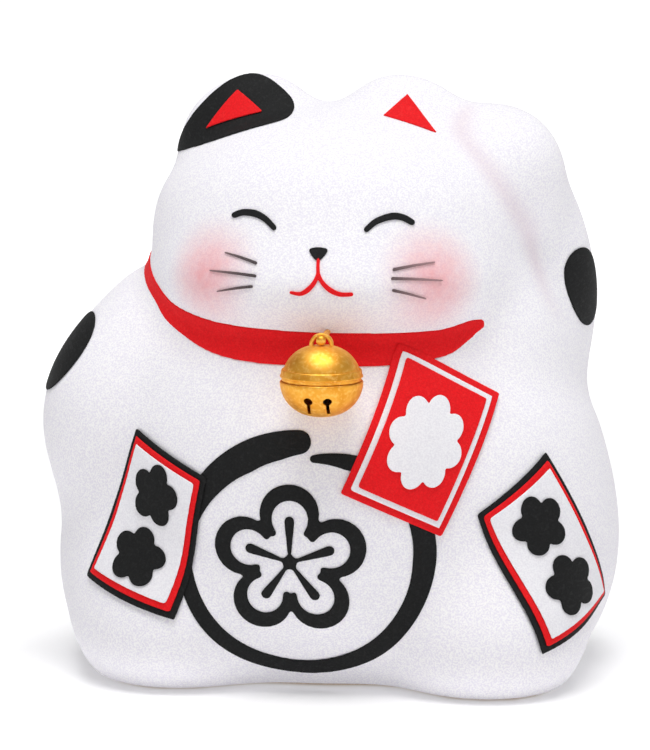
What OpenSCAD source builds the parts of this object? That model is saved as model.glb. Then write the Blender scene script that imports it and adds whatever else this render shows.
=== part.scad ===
// Beckoning cat figurine: a hollow slip-cast figure with paper cut-outs and a jingle bell.
// The cat faces -Y. Names with right and left mean the cat's own right and left.
// The origin is on the table, under the middle of the figure.

/* [Casting] */
// Width of the seated body
body_w = 100; // [97:1:103]
// Depth of the seated body
body_d = 90; // [87:1:93]
// Thickness of the fired wall
wall = 3.5; // [3:0.5:4]
// Thickness of the closed base, recess included
base_t = 7; // [6.5:0.5:8]
// Number of facets round the figure
facets_round = 64; // [48:8:72]
// Number of facets from the base to the crown
facets_up = 42; // [36:2:48]

/* [Drain hole and stopper] */
// Diameter of the drain hole
drain_d = 18; // [14:1:20]
// Distance of the drain hole behind the origin
drain_y = 17; // [15:0.5:19]
// Diameter of the recess round it
recess_d = 26; // [24:1:28]
// Depth of the recess
recess_t = 3.2; // [3:0.1:3.6]
// Diameter of the stopper's flange
flange_d = 22; // [21:0.5:23]
// Thickness of the stopper's flange
flange_t = 1.6; // [1.2:0.1:1.8]
// Length of the stopper's plug
plug_len = 6; // [5:0.5:8]

/* [Paper cut-outs] */
// Room left for the covering paper under the cut-outs
skin_gap = 0.4; // [0.35:0.05:0.5]
// Gap under the collar and the belly ring, which bridge folds
bridge_gap = 0.65; // [0.6:0.05:0.7]
// Thickness of the paper cut-outs
paper_t = 0.3; // [0.2:0.05:0.35]
// Step from one layer of a tag to the next
layer_step = 0.32; // [0.32:0.02:0.4]
// Width of the strokes of the closed eyes
eye_stroke = 1.15; // [0.9:0.05:1.4]
// Width of the strokes of the mouth
mouth_stroke = 0.75; // [0.6:0.05:0.9]

/* [Brush ring and emblem] */
// Height of the ring's middle
ring_z = 27.2; // [26:0.2:28]
// Outer radius of the ring
ring_r = 24.2; // [23:0.2:24.4]
// Distance from the emblem's middle to the middle of a petal
petal_reach = 8.6; // [8:0.2:9]
// Radius of a petal's stroke
petal_r = 4.4; // [4:0.1:4.6]

/* [Tags] */
// Width of the outer border of a tag
tag_border = 1.3; // [1.1:0.1:1.5]
// Width of the line inside the border
tag_line = 0.9; // [0.7:0.1:1.1]

/* [Bell] */
// Place of the bell's middle
bell_at = [2.8, -47, 60.6]; // [-48:0.1:62]
// Width of the bell
bell_w = 15.3; // [14.9:0.2:15.7]
// Height of the bell without its loop
bell_h = 13.2; // [12.6:0.2:13.4]
// Thickness of the bell's sheet
bell_t = 0.5; // [0.4:0.05:0.6]
// How much narrower the upper half is than the lower
upper_step = 0.7; // [0.6:0.1:0.8]
// Height of the band round the upper half
band_h = 1.5; // [1.2:0.1:1.6]
// Diameter of the pellet
pellet_d = 3.4; // [3:0.1:3.6]
// Outer diameter of the strap loop on the bell
loop_d = 4.4; // [4.2:0.1:4.6]
// Thickness and width of the loop's strap
strap = [0.7, 1.4]; // [0.6:0.05:1.5]
// Diameter of the pin that the bell hangs on
pin_d = 1.1; // [1:0.05:1.15]

/* [Hidden] */
ROUND = 48;
FAR = 95;                 // outside the figure in every direction
CORE = [0, 0, 50];        // a point from which the whole surface can be seen
TRACE_STEPS = 26;         // enough for the walk onto the surface to settle
CLOSE_ENOUGH = 0.004;

// The figure is a run of egg-shaped masses, each blended into those before it.
// Row: middle, half sizes, turn about Y, width of the blend.
half_w = body_w / 2;
half_d = body_d / 2;
MASSES = [
    [[1, 2, 27], [half_w, half_d, 37], 0, 1],                        // belly
    [[-0.5, -1, 50], [half_w - 9.5, half_d - 7, 29.5], 0, 18],       // chest
    [[32.3, -1, 33.7], [half_w - 32.3, half_d - 16, 23.3], 6, 12],   // left flank
    [[-32, -1, 15.6], [half_w - 31.4, half_d - 15, 23], 0, 12],      // right haunch
    [[34.6, -3, 17.8], [half_w - 33, half_d - 15, 20], 0, 12],       // left haunch
    [[-27.5, -26, 9.5], [14.8, 15, 11], 0, 11],                      // right foot
    [[32, -28, 8.5], [15.6, 16, 12], 0, 11],                         // left foot
    [[-29.7, 0, 58.3], [17, 21, 18], 0, 9],                          // right shoulder
    [[-39.7, -6, 46.5], [15, 19, 19.3], 0, 7],                       // right arm
    [[1.3, -2, 84], [34.9, 31, 23], 0, 4],                           // skull
    [[1.3, -8, 75.5], [33.5, 31, 15], 0, 6],                         // cheeks
    [[-16.7, 0, 102], [12.5, 7.5, 9.5], -28, 5],                     // right ear
    [[15.5, 0, 102], [12.5, 7.5, 9.5], 28, 5],                       // left ear
    [[33.5, 11, 74.8], [15.4, 15, 27.6], -10.8, 5],                  // raised arm
    [[31.2, 1, 93.6], [12.6, 13, 13], 0, 4],                         // raised paw
    [[0, 40, 18], [11, 11, 10.5], 0, 9]                              // bobtail
];

// A mass as [middle, matrix to unit sphere, matrix to its slope, blend width].
function prepared(mass) = let(
        r = mass[1], c = cos(mass[2]), s = sin(mass[2]),
        turned = [[c, 0, -s], [0, 1, 0], [s, 0, c]]
    ) [
        mass[0],
        [for (i = [0:2]) turned[i] / r[i]],
        [for (i = [0:2]) turned[i] / (r[i] * r[i])],
        mass[3]
    ];
FORM = [for (mass = MASSES) prepared(mass)];

// Nearly the distance from a point to one mass, negative inside it.
function mass_distance(p, mass) = let(
        q = p - mass[0],
        k0 = norm(mass[1] * q),
        k1 = norm(mass[2] * q)
    ) k0 * (k0 - 1) / max(k1, 0.001);

// Joins the masses from number i on to what is already merged at distance d.
function merged(p, i, d) = i == len(FORM) ? d : let(
        e = mass_distance(p, FORM[i]),
        k = FORM[i][3],
        h = max(k - abs(d - e), 0) / k
    ) merged(p, i + 1, min(d, e) - h * h * k / 4);
function form(p) = merged(p, 1, mass_distance(p, FORM[0]));

// Walks from p along dir until it is inset below the surface of the figure.
function traced(p, dir, inset, steps = TRACE_STEPS) = let(d = form(p) + inset)
    (steps == 0 || abs(d) < CLOSE_ENOUGH) ? p : traced(p + dir * d * 0.92, dir, inset, steps - 1);

function unit(v) = v / norm(v);
function outward(p) = let(e = 0.4) unit([
        form(p + [e, 0, 0]) - form(p - [e, 0, 0]),
        form(p + [0, e, 0]) - form(p - [0, e, 0]),
        form(p + [0, 0, e]) - form(p - [0, 0, e])
    ]);

// A site is a place on the surface with its outward direction.
// A cut-out is drawn flat and pressed on from one side: facing is [azimuth, elevation],
// azimuth 0 is the front and +90 the cat's left. xy is [to the side, up].
function site(facing, xy) = let(
        a = facing[0], e = facing[1],
        n = [sin(a) * cos(e), -cos(a) * cos(e), sin(e)],
        side = [cos(a), sin(a), 0],
        up = cross(n, side),
        p = traced(n * FAR + side * xy[0] + up * xy[1], -n, 0)
    ) [p, outward(p)];

// A smooth curve through hand-placed points: count places along each span.
function spline_at(a, b, c, d, t) = 0.5 * (
        2 * b + (c - a) * t + (2 * a - 5 * b + 4 * c - d) * t * t
        + (3 * b - a - 3 * c + d) * t * t * t);
function open_curve(pts, count) = let(last = len(pts) - 1) [
        for (i = [0:last - 1], j = [0:count - 1])
            spline_at(pts[max(i - 1, 0)], pts[i], pts[i + 1], pts[min(i + 2, last)], j / count),
        pts[last]
    ];
function closed_curve(pts, count) = let(n = len(pts)) [
        for (i = [0:n - 1], j = [0:count - 1])
            spline_at(pts[(i + n - 1) % n], pts[i], pts[(i + 1) % n], pts[(i + 2) % n], j / count)
    ];

// ---------------------------------------------------------------- sheets of paper

// Two triangles for one cell, seen from the outside.
function cell(a, b, c, d) = [[a, b, c], [a, c, d]];
function flat_once(lists) = [for (l = lists) each l];
function reversed(faces) = [for (f = faces) [f[2], f[1], f[0]]];

// A sheet over a grid of sites, lift above the figure and thick through.
module sheet(rows, lift, thick) {
    m = len(rows);
    n = len(rows[0]);
    layer = m * n;
    points = [for (h = [lift, lift + thick]) for (row = rows) for (s = row) s[0] + s[1] * h];
    top = flat_once([for (i = [0:m - 2], j = [0:n - 2])
        cell(layer + i * n + j, layer + (i + 1) * n + j,
            layer + (i + 1) * n + j + 1, layer + i * n + j + 1)]);
    under = flat_once([for (i = [0:m - 2], j = [0:n - 2])
        cell(i * n + j, i * n + j + 1, (i + 1) * n + j + 1, (i + 1) * n + j)]);
    ends = flat_once([for (j = [0:n - 2]) each [
        cell(j, layer + j, layer + j + 1, j + 1),
        cell((m - 1) * n + j, (m - 1) * n + j + 1, layer + (m - 1) * n + j + 1, layer + (m - 1) * n + j)]]);
    sides = flat_once([for (i = [0:m - 2]) each [
        cell(i * n, (i + 1) * n, layer + (i + 1) * n, layer + i * n),
        cell(i * n + n - 1, layer + i * n + n - 1, layer + (i + 1) * n + n - 1, (i + 1) * n + n - 1)]]);
    faces = concat(top, under, ends, sides);
    across = cross(rows[1][0][0] - rows[0][0][0], rows[0][1][0] - rows[0][0][0]);
    polyhedron(points, across * rows[0][0][1] < 0 ? faces : reversed(faces), convexity = 6);
}

// A sheet with a round or pointed outline, laid in rings about its middle.
module disc(facing, middle, outline, lift, thick, rings = 3) {
    n = len(outline);
    fractions = [for (i = [1:rings]) i / rings];
    sites = concat([site(facing, middle)],
        [for (f = fractions) for (p = outline) site(facing, middle + (p - middle) * f)]);
    layer = len(sites);
    points = [for (h = [lift, lift + thick]) for (s = sites) s[0] + s[1] * h];
    function at(k, ring, j) = k * layer + 1 + ring * n + (j % n);
    fans = [for (j = [0:n - 1]) each [
        [layer, at(1, 0, j), at(1, 0, j + 1)],
        [0, at(0, 0, j + 1), at(0, 0, j)]]];
    tops = flat_once([for (i = [0:rings - 2], j = [0:n - 1])
        cell(at(1, i, j), at(1, i + 1, j), at(1, i + 1, j + 1), at(1, i, j + 1))]);
    unders = flat_once([for (i = [0:rings - 2], j = [0:n - 1])
        cell(at(0, i, j), at(0, i, j + 1), at(0, i + 1, j + 1), at(0, i + 1, j))]);
    rim = flat_once([for (j = [0:n - 1])
        cell(at(1, rings - 1, j), at(0, rings - 1, j), at(0, rings - 1, j + 1), at(1, rings - 1, j + 1))]);
    faces = concat(fans, tops, unders, rim);
    across = cross(outline[0] - middle, outline[1] - middle);
    polyhedron(points, across > 0 ? reversed(faces) : faces, convexity = 6);
}

// A brush stroke along a path, with a half width for each of its points.
module stroke(facing, path, half_widths, lift, thick) {
    last = len(path) - 1;
    rows = [for (i = [0:last]) let(
            ahead = path[min(i + 1, last)] - path[max(i - 1, 0)],
            across = [-ahead[1], ahead[0]] / norm(ahead) * half_widths[i]
        ) [for (s = [-1, -0.5, 0.5, 1]) site(facing, path[i] + across * s)]];
    sheet(rows, lift, thick);
}

// Half width of a stroke with round ends: w in the middle, t from 0 to 1 along it.
function round_ended(w, t, cap) = w / 2 * sqrt(max(1 - pow(max(cap - min(t, 1 - t), 0) / cap, 2), 0.02));

module even_stroke(facing, pts, w, lift = skin_gap, thick = paper_t, cap = 0.1) {
    path = open_curve(pts, 5);
    last = len(path) - 1;
    stroke(facing, path, [for (i = [0:last]) round_ended(w, i / last, cap)], lift, thick);
}

// A tag is a slip of paper with four corners, from its top left round to its bottom left.
// on_tag is the place on it at x to the right of its middle and y up.
function tag_w(tag) = (norm(tag[1][1] - tag[1][0]) + norm(tag[1][2] - tag[1][3])) / 2;
function tag_h(tag) = (norm(tag[1][3] - tag[1][0]) + norm(tag[1][2] - tag[1][1])) / 2;
function on_tag(tag, xy) = let(c = tag[1], u = 0.5 + xy[0] / tag_w(tag), v = 0.5 - xy[1] / tag_h(tag))
    (c[0] * (1 - u) + c[1] * u) * (1 - v) + (c[3] * (1 - u) + c[2] * u) * v;

// One layer of a tag, drawn in by edge all round. The grid lines are shared by all the
// layers of a tag, so that each layer lies evenly on the one below.
module tag_layer(tag, edge, level) {
    function lines(half, inner) =
        let(cuts = [for (e = [0, tag_border, tag_border + tag_line]) if (e >= edge) e])
        concat([for (e = cuts) e - half], inner, [for (i = [len(cuts) - 1:-1:0]) half - cuts[i]]);
    xs = lines(tag_w(tag) / 2, [-4, 0, 4]);
    ys = lines(tag_h(tag) / 2, [-8, -4, 0, 4, 8]);
    rows = [for (y = ys) [for (x = xs) site(tag[0], on_tag(tag, [x, y]))]];
    sheet(rows, tag_lift(level), layer_step - 0.07);
}
function tag_lift(level) = bridge_gap + paper_t + 0.1 + level * layer_step;

// Outline with soft bumps, for blossoms and cloud shapes.
function bumpy(middle, half, bumps, depth, count = 40) = [for (i = [0:count - 1]) let(
        a = 360 * i / count,
        r = 1 - depth + depth * abs(cos(bumps * a / 2))
    ) middle + [half[0] * r * sin(a), half[1] * r * cos(a)]];

// ---------------------------------------------------------------- casting and stopper

module solid_form(inset, around, up) {
    rings = [for (i = [1:up - 1]) -90 + 180 * i / up];
    function seen(lat, lon) = let(d = [cos(lat) * sin(lon), -cos(lat) * cos(lon), sin(lat)])
        traced(CORE + d * FAR, -d, inset);
    points = concat([seen(-90, 0)],
        [for (lat = rings) for (j = [0:around - 1]) seen(lat, 360 * j / around)], [seen(90, 0)]);
    m = len(rings);
    top = len(points) - 1;
    function at(i, j) = 1 + i * around + (j % around);
    faces = concat(
        [for (j = [0:around - 1]) each [[0, at(0, j), at(0, j + 1)], [top, at(m - 1, j + 1), at(m - 1, j)]]],
        flat_once([for (i = [0:m - 2], j = [0:around - 1])
            cell(at(i, j), at(i + 1, j), at(i + 1, j + 1), at(i, j + 1))]));
    polyhedron(points, faces, convexity = 8);
}

// Cuts its child off level at height z, and meshes the result.
module standing_on(z) {
    resize([0, 0, 0])
        difference() {
            children();
            translate([-FAR, -FAR, z - 2 * FAR])
                cube(2 * FAR);
        }
}

module pin_bore(d, from_y, to_y) {
    translate([bell_at[0], to_y, pin_z])
        rotate([90, 0, 0])
            cylinder(d = d, h = to_y - from_y, $fn = ROUND);
}

module body_casting() {
    color("white")
        difference() {
            standing_on(0)
                solid_form(0, facets_round, facets_up);
            standing_on(base_t)
                solid_form(wall, 28, 18);
            translate([0, drain_y, -1]) {
                cylinder(d = recess_d, h = recess_t + 1, $fn = ROUND);
                cylinder(d = drain_d, h = base_t + 3, $fn = ROUND);
            }
            pin_bore(pin_d + 0.04, -60, pin_end_y - 0.02);
        }
}

// The stopper sits up in its recess, clear of the table.
module stopper() {
    top = recess_t - 0.02;
    color("gainsboro")
        translate([0, drain_y, 0])
            rotate_extrude($fn = ROUND)
                polygon([
                    [0, top - flange_t], [flange_d / 2 - 0.4, top - flange_t],
                    [flange_d / 2, top - flange_t + 0.4], [flange_d / 2, top], [plug_r, top],
                    [plug_r, top + plug_len - 1.2], [plug_r - 1, top + plug_len], [0, top + plug_len]
                ]);
}
plug_r = drain_d / 2 - 0.05;

// ---------------------------------------------------------------- face and ears

EAR_RIGHT = [-15, 30];
EAR_LEFT = [12, 30];
FRONT = [0, 0];

module ear_patch() {
    outline = closed_curve([[-27.4, 80], [-19, 78.6], [-7, 81.8], [-3.6, 84.6], [-7.2, 91.4],
        [-15, 94], [-22, 88]], 5);
    color("#16181a")
        disc(EAR_RIGHT, [-14.5, 86], outline, skin_gap, paper_t, 4);
}
module lining(facing, corners, lift) {
    middle = (corners[0] + corners[1] + corners[2]) / 3;
    soft = flat_once([for (i = [0:2]) [
        corners[i] * 0.88 + corners[(i + 2) % 3] * 0.12,
        corners[i] * 0.88 + corners[(i + 1) % 3] * 0.12]]);
    color("#c8141c")
        disc(facing, middle, closed_curve(soft, 4), lift, paper_t, 2);
}
module ear_lining_right() {
    lining(EAR_RIGHT, [[-15.6, 90.2], [-20.4, 82.2], [-9.6, 85.6]], skin_gap + paper_t + 0.1);
}
module ear_lining_left() {
    lining(EAR_LEFT, [[8.1, 84.9], [13.3, 90.3], [18, 81]], skin_gap);
}
module eye_right() {
    color("#16181a")
        even_stroke(FRONT, [[-15.2, 88.5], [-13.4, 89.1], [-11, 89], [-9, 88.1], [-7.3, 86.6]], eye_stroke);
}
module eye_left() {
    color("#16181a")
        even_stroke(FRONT, [[9.5, 86.5], [11.3, 88], [14, 88.8], [16, 88.5], [17.7, 87.5]], eye_stroke);
}
module nose() {
    color("#16181a")
        disc(FRONT, [1.1, 82.9], closed_curve([[-1, 83.4], [1.1, 83.9], [3.2, 83.4], [1.1, 81.5]], 5),
            skin_gap, paper_t, 2);
}
// The stem comes down from the nose and the two curves turn out from its foot.
module mouth() {
    foot = [1.3, 78.9];
    color("#c8141c") {
        even_stroke(FRONT, [[1.2, 81.2], [1.2, 80.3], foot + [0, 0.55]], mouth_stroke);
        even_stroke(FRONT, [[-3.4, 75.2], [-1.6, 75.6], [-0.2, 76.7], foot, [2.6, 76.9],
            [4.2, 75.8], [7.8, 75.2]], mouth_stroke);
    }
}
module whiskers(roots, tips) {
    color("#16181a")
        for (i = [0:2]) {
            path = open_curve([roots[i], (roots[i] + tips[i]) / 2 + [0, 0.2], tips[i]], 4);
            stroke(FRONT, path, [for (t = [0:8]) 0.42 - 0.035 * t], skin_gap, paper_t);
        }
}
module whiskers_right() {
    whiskers([[-10.4, 80.4], [-10.4, 78.3], [-11, 76.4]], [[-16.8, 82.2], [-19.6, 78.8], [-18, 75]]);
}
module whiskers_left() {
    whiskers([[14.8, 79.4], [14.6, 78], [14.6, 75.9]], [[22, 80.5], [23.5, 77.2], [20.6, 73.9]]);
}

// ---------------------------------------------------------------- collar and arm patches

// Azimuth, height and width along the collar, from the raised arm round the front,
// the right side and the back.
COLLAR = [
    [62, 67.9, 2.2], [58, 67.4, 3.2], [54, 66.7, 4], [44, 65.4, 5.2], [32, 64.9, 6], [20, 64.7, 6.6],
    [0, 64.9, 6.8], [-20, 65.3, 6.8], [-35, 66.5, 5.9], [-50, 69.2, 4.4], [-60, 72.8, 3.2], [-75, 76.3, 3],
    [-90, 77.6, 3.2], [-110, 76.4, 3.8], [-130, 73.2, 4.6], [-160, 71.8, 5], [-195, 71.8, 5],
    [-220, 72.6, 4.6], [-232, 73.6, 3.6]
];
COLLAR_COLUMNS = 6;
module collar() {
    path = open_curve(COLLAR, 4);
    rows = [for (k = path) [for (j = [0:COLLAR_COLUMNS])
        site([k[0], 0], [0, k[1] + (j / COLLAR_COLUMNS - 0.5) * k[2]])]];
    color("#c8141c")
        difference() {
            sheet(rows, bridge_gap, paper_t);
            pin_bore(pin_d + 0.4, -60, -30);
        }
}
module arm_patch_right() {
    color("#16181a")
        disc([-70, 0], [-7.5, 59.8], bumpy([-7.5, 59.8], [8.6, 7.2], 2, 0.04, 28), skin_gap, paper_t);
}
module arm_patch_left() {
    color("#16181a")
        disc([65, 0], [24.1, 71.9], bumpy([24.1, 71.9], [7.2, 7.4], 2, 0.04, 28), skin_gap, paper_t);
}

// ---------------------------------------------------------------- ring and emblem

// The ring is one brush stroke: thick where the brush lands at the top, thin down the
// left and along the bottom, thick again on the right, and drawn out to a point.
module belly_ring() {
    count = 60;
    ts = [for (i = [0:count]) i / count];
    widths = [[0, 1.4], [0.02, 4], [0.05, 5.4], [0.1, 5], [0.25, 2.9], [0.5, 2.5], [0.62, 3.4],
        [0.75, 5.2], [0.86, 4.2], [0.96, 2.6], [1, 0.5]];
    outer = [[0, ring_r - 0.6], [0.06, ring_r], [0.84, ring_r], [0.93, ring_r - 2.4], [1, ring_r - 5]];
    path = [for (t = ts) let(w = lookup(t, widths), a = 88 + 352 * t, r = lookup(t, outer) - w / 2)
        [r * cos(a) - 1, r * 0.97 * sin(a) + ring_z]];
    color("#16181a")
        stroke(FRONT, path, [for (t = ts) lookup(t, widths) / 2], bridge_gap, paper_t);
}

// A blossom in brush strokes: five petals open to the middle, five stamens and a dot.
module blossom(facing, middle, reach, petal, weight, lift, tilt = 0) {
    for (i = [0:4]) {
        a = 90 + tilt + 72 * i;
        centre = middle + reach * [cos(a), sin(a)];
        arc_path = [for (j = [0:12]) centre + petal * [cos(a - 132 + 22 * j), sin(a - 132 + 22 * j)]];
        stroke(facing, arc_path, [for (j = [0:12]) weight * (0.22 + 0.78 * sin(15 * j))], lift, paper_t);
        stem = [for (j = [0:4]) middle + (petal * 0.42 + j * reach * 0.17) * [cos(a), sin(a)]];
        stroke(facing, stem, [for (j = [0:4]) weight * (0.18 + 0.1 * j)], lift, paper_t);
    }
    disc(facing, middle, [for (j = [0:15]) middle + petal * 0.26 * [cos(22.5 * j), sin(22.5 * j)]],
        lift, paper_t, 2);
}
module belly_emblem() {
    color("#16181a")
        blossom(FRONT, [-3.4, 26.2], petal_reach, petal_r, 1.35, skin_gap);
}

// ---------------------------------------------------------------- tags

RED_TAG = [[20, 0], [[3.4, 65.7], [22.4, 55.2], [9.2, 30.7], [-9.3, 39.2]]];
RIGHT_TAG = [[-32, 0], [[-12.9, 48.3], [5, 41], [0.5, 14.3], [-20.5, 20]]];
LEFT_TAG = [[42, 0], [[-1.6, 34.4], [13.7, 44.5], [29.5, 15.6], [4.5, 9.3]]];

module backing(tag, paint) { color(paint) tag_layer(tag, 0, 0); }
module border(tag, paint) { color(paint) tag_layer(tag, tag_border, 1); }
module panel(tag, paint) { color(paint) tag_layer(tag, tag_border + tag_line, 2); }

// Soft-edged shapes on the panel of a tag: middles on the tag, half sizes, bumps and depth.
module motif(tag, middles, half, bumps, depth, paint) {
    color(paint)
        for (m = middles)
            disc(tag[0], on_tag(tag, m), [for (p = bumpy(m, half, bumps, depth)) on_tag(tag, p)],
                tag_lift(3) + 0.1, paper_t - 0.05, 4);
}
module red_tag_backing() { backing(RED_TAG, "#c8141c"); }
module red_tag_liner() { border(RED_TAG, "white"); }
module red_tag_panel() { panel(RED_TAG, "#c8141c"); }
module red_tag_emblem() { motif(RED_TAG, [[0, 0]], [5.8, 8.8], 8, 0.16, "white"); }
module right_tag_backing() { backing(RIGHT_TAG, "#16181a"); }
module right_tag_border() { border(RIGHT_TAG, "#c8141c"); }
module right_tag_panel() { panel(RIGHT_TAG, "white"); }
module right_tag_emblem() { motif(RIGHT_TAG, [[0, -5.8], [0, 5.8]], [5.2, 5.1], 5, 0.34, "#16181a"); }
module left_tag_backing() { backing(LEFT_TAG, "#16181a"); }
module left_tag_border() { border(LEFT_TAG, "#c8141c"); }
module left_tag_panel() { panel(LEFT_TAG, "white"); }
module left_tag_emblem() { motif(LEFT_TAG, [[0, -5.8], [0, 5.8]], [5.6, 5.1], 5, 0.34, "#16181a"); }

// ---------------------------------------------------------------- bell

bell_top = bell_at[2] + bell_h / 2;
loop_hole_r = loop_d / 2 - strap[0];
pin_slack = 0.08;                               // room between the pin and the loop
pin_z = bell_top + loop_hole_r - pin_d / 2 - pin_slack;
pin_end_y = -33.4;                              // where the pin ends inside the wall
pin_head_y = bell_at[1] - strap[1] / 2 - 0.35;
pin_head_d = 1.8;

module bell_pin() {
    color("goldenrod") {
        translate([bell_at[0], pin_end_y - 0.02, pin_z])
            rotate([90, 0, 0])
                cylinder(d = pin_d, h = pin_end_y - 0.02 - pin_head_y, $fn = ROUND);
        translate([bell_at[0], pin_head_y, pin_z])
            rotate([90, 0, 0])
                rotate_extrude($fn = ROUND)
                    intersection() {
                        scale([1, 0.7]) circle(d = pin_head_d, $fn = ROUND);
                        square([3, 3]);
                    }
    }
}

// The loop is an arch of flat strap whose feet stand on the crown of the bell.
module bell_loop() {
    color("goldenrod")
        difference() {
            translate([bell_at[0], bell_at[1] + strap[1] / 2, bell_top])
                rotate([90, 0, 0])
                    rotate_extrude($fn = ROUND)
                        translate([loop_hole_r, 0])
                            square(strap);
            translate([bell_at[0] - 4, bell_at[1] - 4, bell_top - 8.12])
                cube(8);
        }
}

// Half of the bell's section, hollow and w wide, from height z0 to z1 about its middle.
module bell_sheet(w, z0, z1) {
    translate(bell_at)
        rotate_extrude($fn = ROUND)
            intersection() {
                difference() {
                    scale([1, bell_h / w]) circle(d = w, $fn = ROUND);
                    scale([1, (bell_h - 2 * bell_t) / (w - 2 * bell_t)])
                        circle(d = w - 2 * bell_t, $fn = ROUND);
                }
                translate([0, z0]) square([w, z1 - z0]);
            }
}
module bell_upper_shell() {
    color("goldenrod")
        bell_sheet(bell_w - upper_step, 0.01, bell_h);
}
// Two round holes low on the front, each with a slit running down from it.
module bell_lower_shell() {
    color("goldenrod")
        difference() {
            bell_sheet(bell_w, -bell_h, -0.01);
            translate(bell_at)
                rotate([24, 0, 0])
                    for (x = [-1.75, 1.75]) {
                        translate([x, 0, 0])
                            rotate([90, 0, 0])
                                cylinder(d = 1.6, h = bell_w, $fn = ROUND);
                        translate([x - 0.3, -bell_w, -3.4])
                            cube([0.6, bell_w, 3.4]);
                    }
        }
}
// The band leans in with the upper half that it grips.
module bell_band() {
    r = (bell_w - upper_step) / 2;
    color("goldenrod")
        translate([bell_at[0], bell_at[1], bell_at[2] + 0.7])
            rotate_extrude($fn = ROUND)
                polygon([[r + 0.02, 0], [r + 0.3, 0], [r + 0.28, band_h * 0.4],
                    [r, band_h], [r - 0.25, band_h]]);
}
module bell_pellet() {
    color("silver")
        translate(bell_at - [0, 0, bell_h / 2 - bell_t - pellet_d / 2 - 0.15])
            sphere(d = pellet_d, $fn = ROUND);
}

// ---------------------------------------------------------------- the parts

body_casting();
stopper();
ear_patch();
ear_lining_right();
ear_lining_left();
eye_right();
eye_left();
nose();
mouth();
whiskers_right();
whiskers_left();
collar();
arm_patch_right();
arm_patch_left();
belly_ring();
belly_emblem();
red_tag_backing();
red_tag_liner();
red_tag_panel();
red_tag_emblem();
right_tag_backing();
right_tag_border();
right_tag_panel();
right_tag_emblem();
left_tag_backing();
left_tag_border();
left_tag_panel();
left_tag_emblem();
bell_pin();
bell_loop();
bell_upper_shell();
bell_lower_shell();
bell_band();
bell_pellet();
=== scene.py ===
# %% [markdown]
# # A beckoning cat in ceramic and paper
# The real figure is a hollow clay casting. A skin of soft white paper, made from long plant fibres, is
# pasted over it, and everything black, red or white on top is cut from the same kind of paper. A small
# brass bell hangs at the collar. This script builds those looks round a fixed frame, which holds the sizes,
# the casting, the bell's joint and the stopper in the base.

# %% Load the frame
import bpy
import math
import numpy as np
from mathutils import Matrix, Vector


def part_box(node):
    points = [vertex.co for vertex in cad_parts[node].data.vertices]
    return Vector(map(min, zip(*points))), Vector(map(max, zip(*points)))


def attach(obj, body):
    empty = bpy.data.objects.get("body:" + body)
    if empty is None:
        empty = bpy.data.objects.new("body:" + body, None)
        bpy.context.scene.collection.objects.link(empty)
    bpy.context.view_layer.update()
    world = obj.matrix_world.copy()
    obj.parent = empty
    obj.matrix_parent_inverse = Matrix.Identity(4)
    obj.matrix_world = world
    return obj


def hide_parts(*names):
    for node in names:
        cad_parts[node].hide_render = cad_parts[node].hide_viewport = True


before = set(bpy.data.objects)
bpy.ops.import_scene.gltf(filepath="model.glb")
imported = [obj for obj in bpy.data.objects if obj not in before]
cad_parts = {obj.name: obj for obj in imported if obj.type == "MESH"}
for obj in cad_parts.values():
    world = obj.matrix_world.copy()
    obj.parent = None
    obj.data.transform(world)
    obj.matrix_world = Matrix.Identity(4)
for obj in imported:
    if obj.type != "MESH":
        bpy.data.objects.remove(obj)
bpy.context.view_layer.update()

# %% [markdown]
# ## Units and small helpers
# Blender works in metres. Paper work is easier to think about in millimetres, so the cut-outs are drawn
# flat in millimetres and become metres when they are pasted on. An operator acts on all that is selected,
# so everything is deselected before each step.

# %% Helpers for operators
MM = 0.001


def deselect_all():
    if bpy.context.object and bpy.context.object.mode != "OBJECT":
        bpy.ops.object.mode_set(mode="OBJECT")
    bpy.ops.object.select_all(action="DESELECT")


def pick(piece):
    deselect_all()
    piece.select_set(True)
    bpy.context.view_layer.objects.active = piece


def apply_modifier(piece, kind, **settings):
    """Adds a modifier, sets it and applies it."""
    pick(piece)
    modifier = piece.modifiers.new(kind.title(), kind)
    for name, value in settings.items():
        setattr(modifier, name, value)
    bpy.ops.object.modifier_apply(modifier=modifier.name)


def edit(piece, *steps):
    """Goes into edit mode with everything selected, and runs the steps."""
    pick(piece)
    bpy.ops.object.mode_set(mode="EDIT")
    bpy.ops.mesh.select_all(action="SELECT")
    for step in steps:
        step()
    bpy.ops.object.mode_set(mode="OBJECT")


def merge_doubles(distance=0.00001):
    bpy.ops.mesh.remove_doubles(threshold=distance)


def point_outwards():
    bpy.ops.mesh.normals_make_consistent(inside=False)


def points_of(piece):
    flat = np.empty(len(piece.data.vertices) * 3)
    piece.data.vertices.foreach_get("co", flat)
    return flat.reshape(-1, 3)


def move_points(piece, points):
    piece.data.vertices.foreach_set("co", np.asarray(points, dtype=float).ravel())
    piece.data.update()


def settle(piece, name, body, slot, finish, *nodes):
    """Names a finished piece, shades it, gives it its finish, hangs it on its body and hides the parts it
    stands for.
    """
    piece.name = name
    piece.data.name = name
    pick(piece)
    bpy.ops.object.transform_apply(location=True, rotation=True, scale=True)
    bpy.ops.object.shade_smooth()
    piece.data.materials.clear()
    piece.data.materials.append(finish)
    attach(piece, body)
    if nodes:
        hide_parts(*nodes)
    print(name, "has", len(piece.data.polygons), "faces")
    return piece


# %% [markdown]
# ## Shader maths in plain expressions
# A material is a graph of nodes. To keep it readable, a small class wraps a socket so that `1 - mask * 0.5`
# adds the Math nodes by itself. Every other node comes from one method.

# %% Wires and finishes
def plug(value, socket):
    if isinstance(value, Wire):
        socket.id_data.links.new(value.socket, socket)
    else:
        socket.default_value = value


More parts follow.
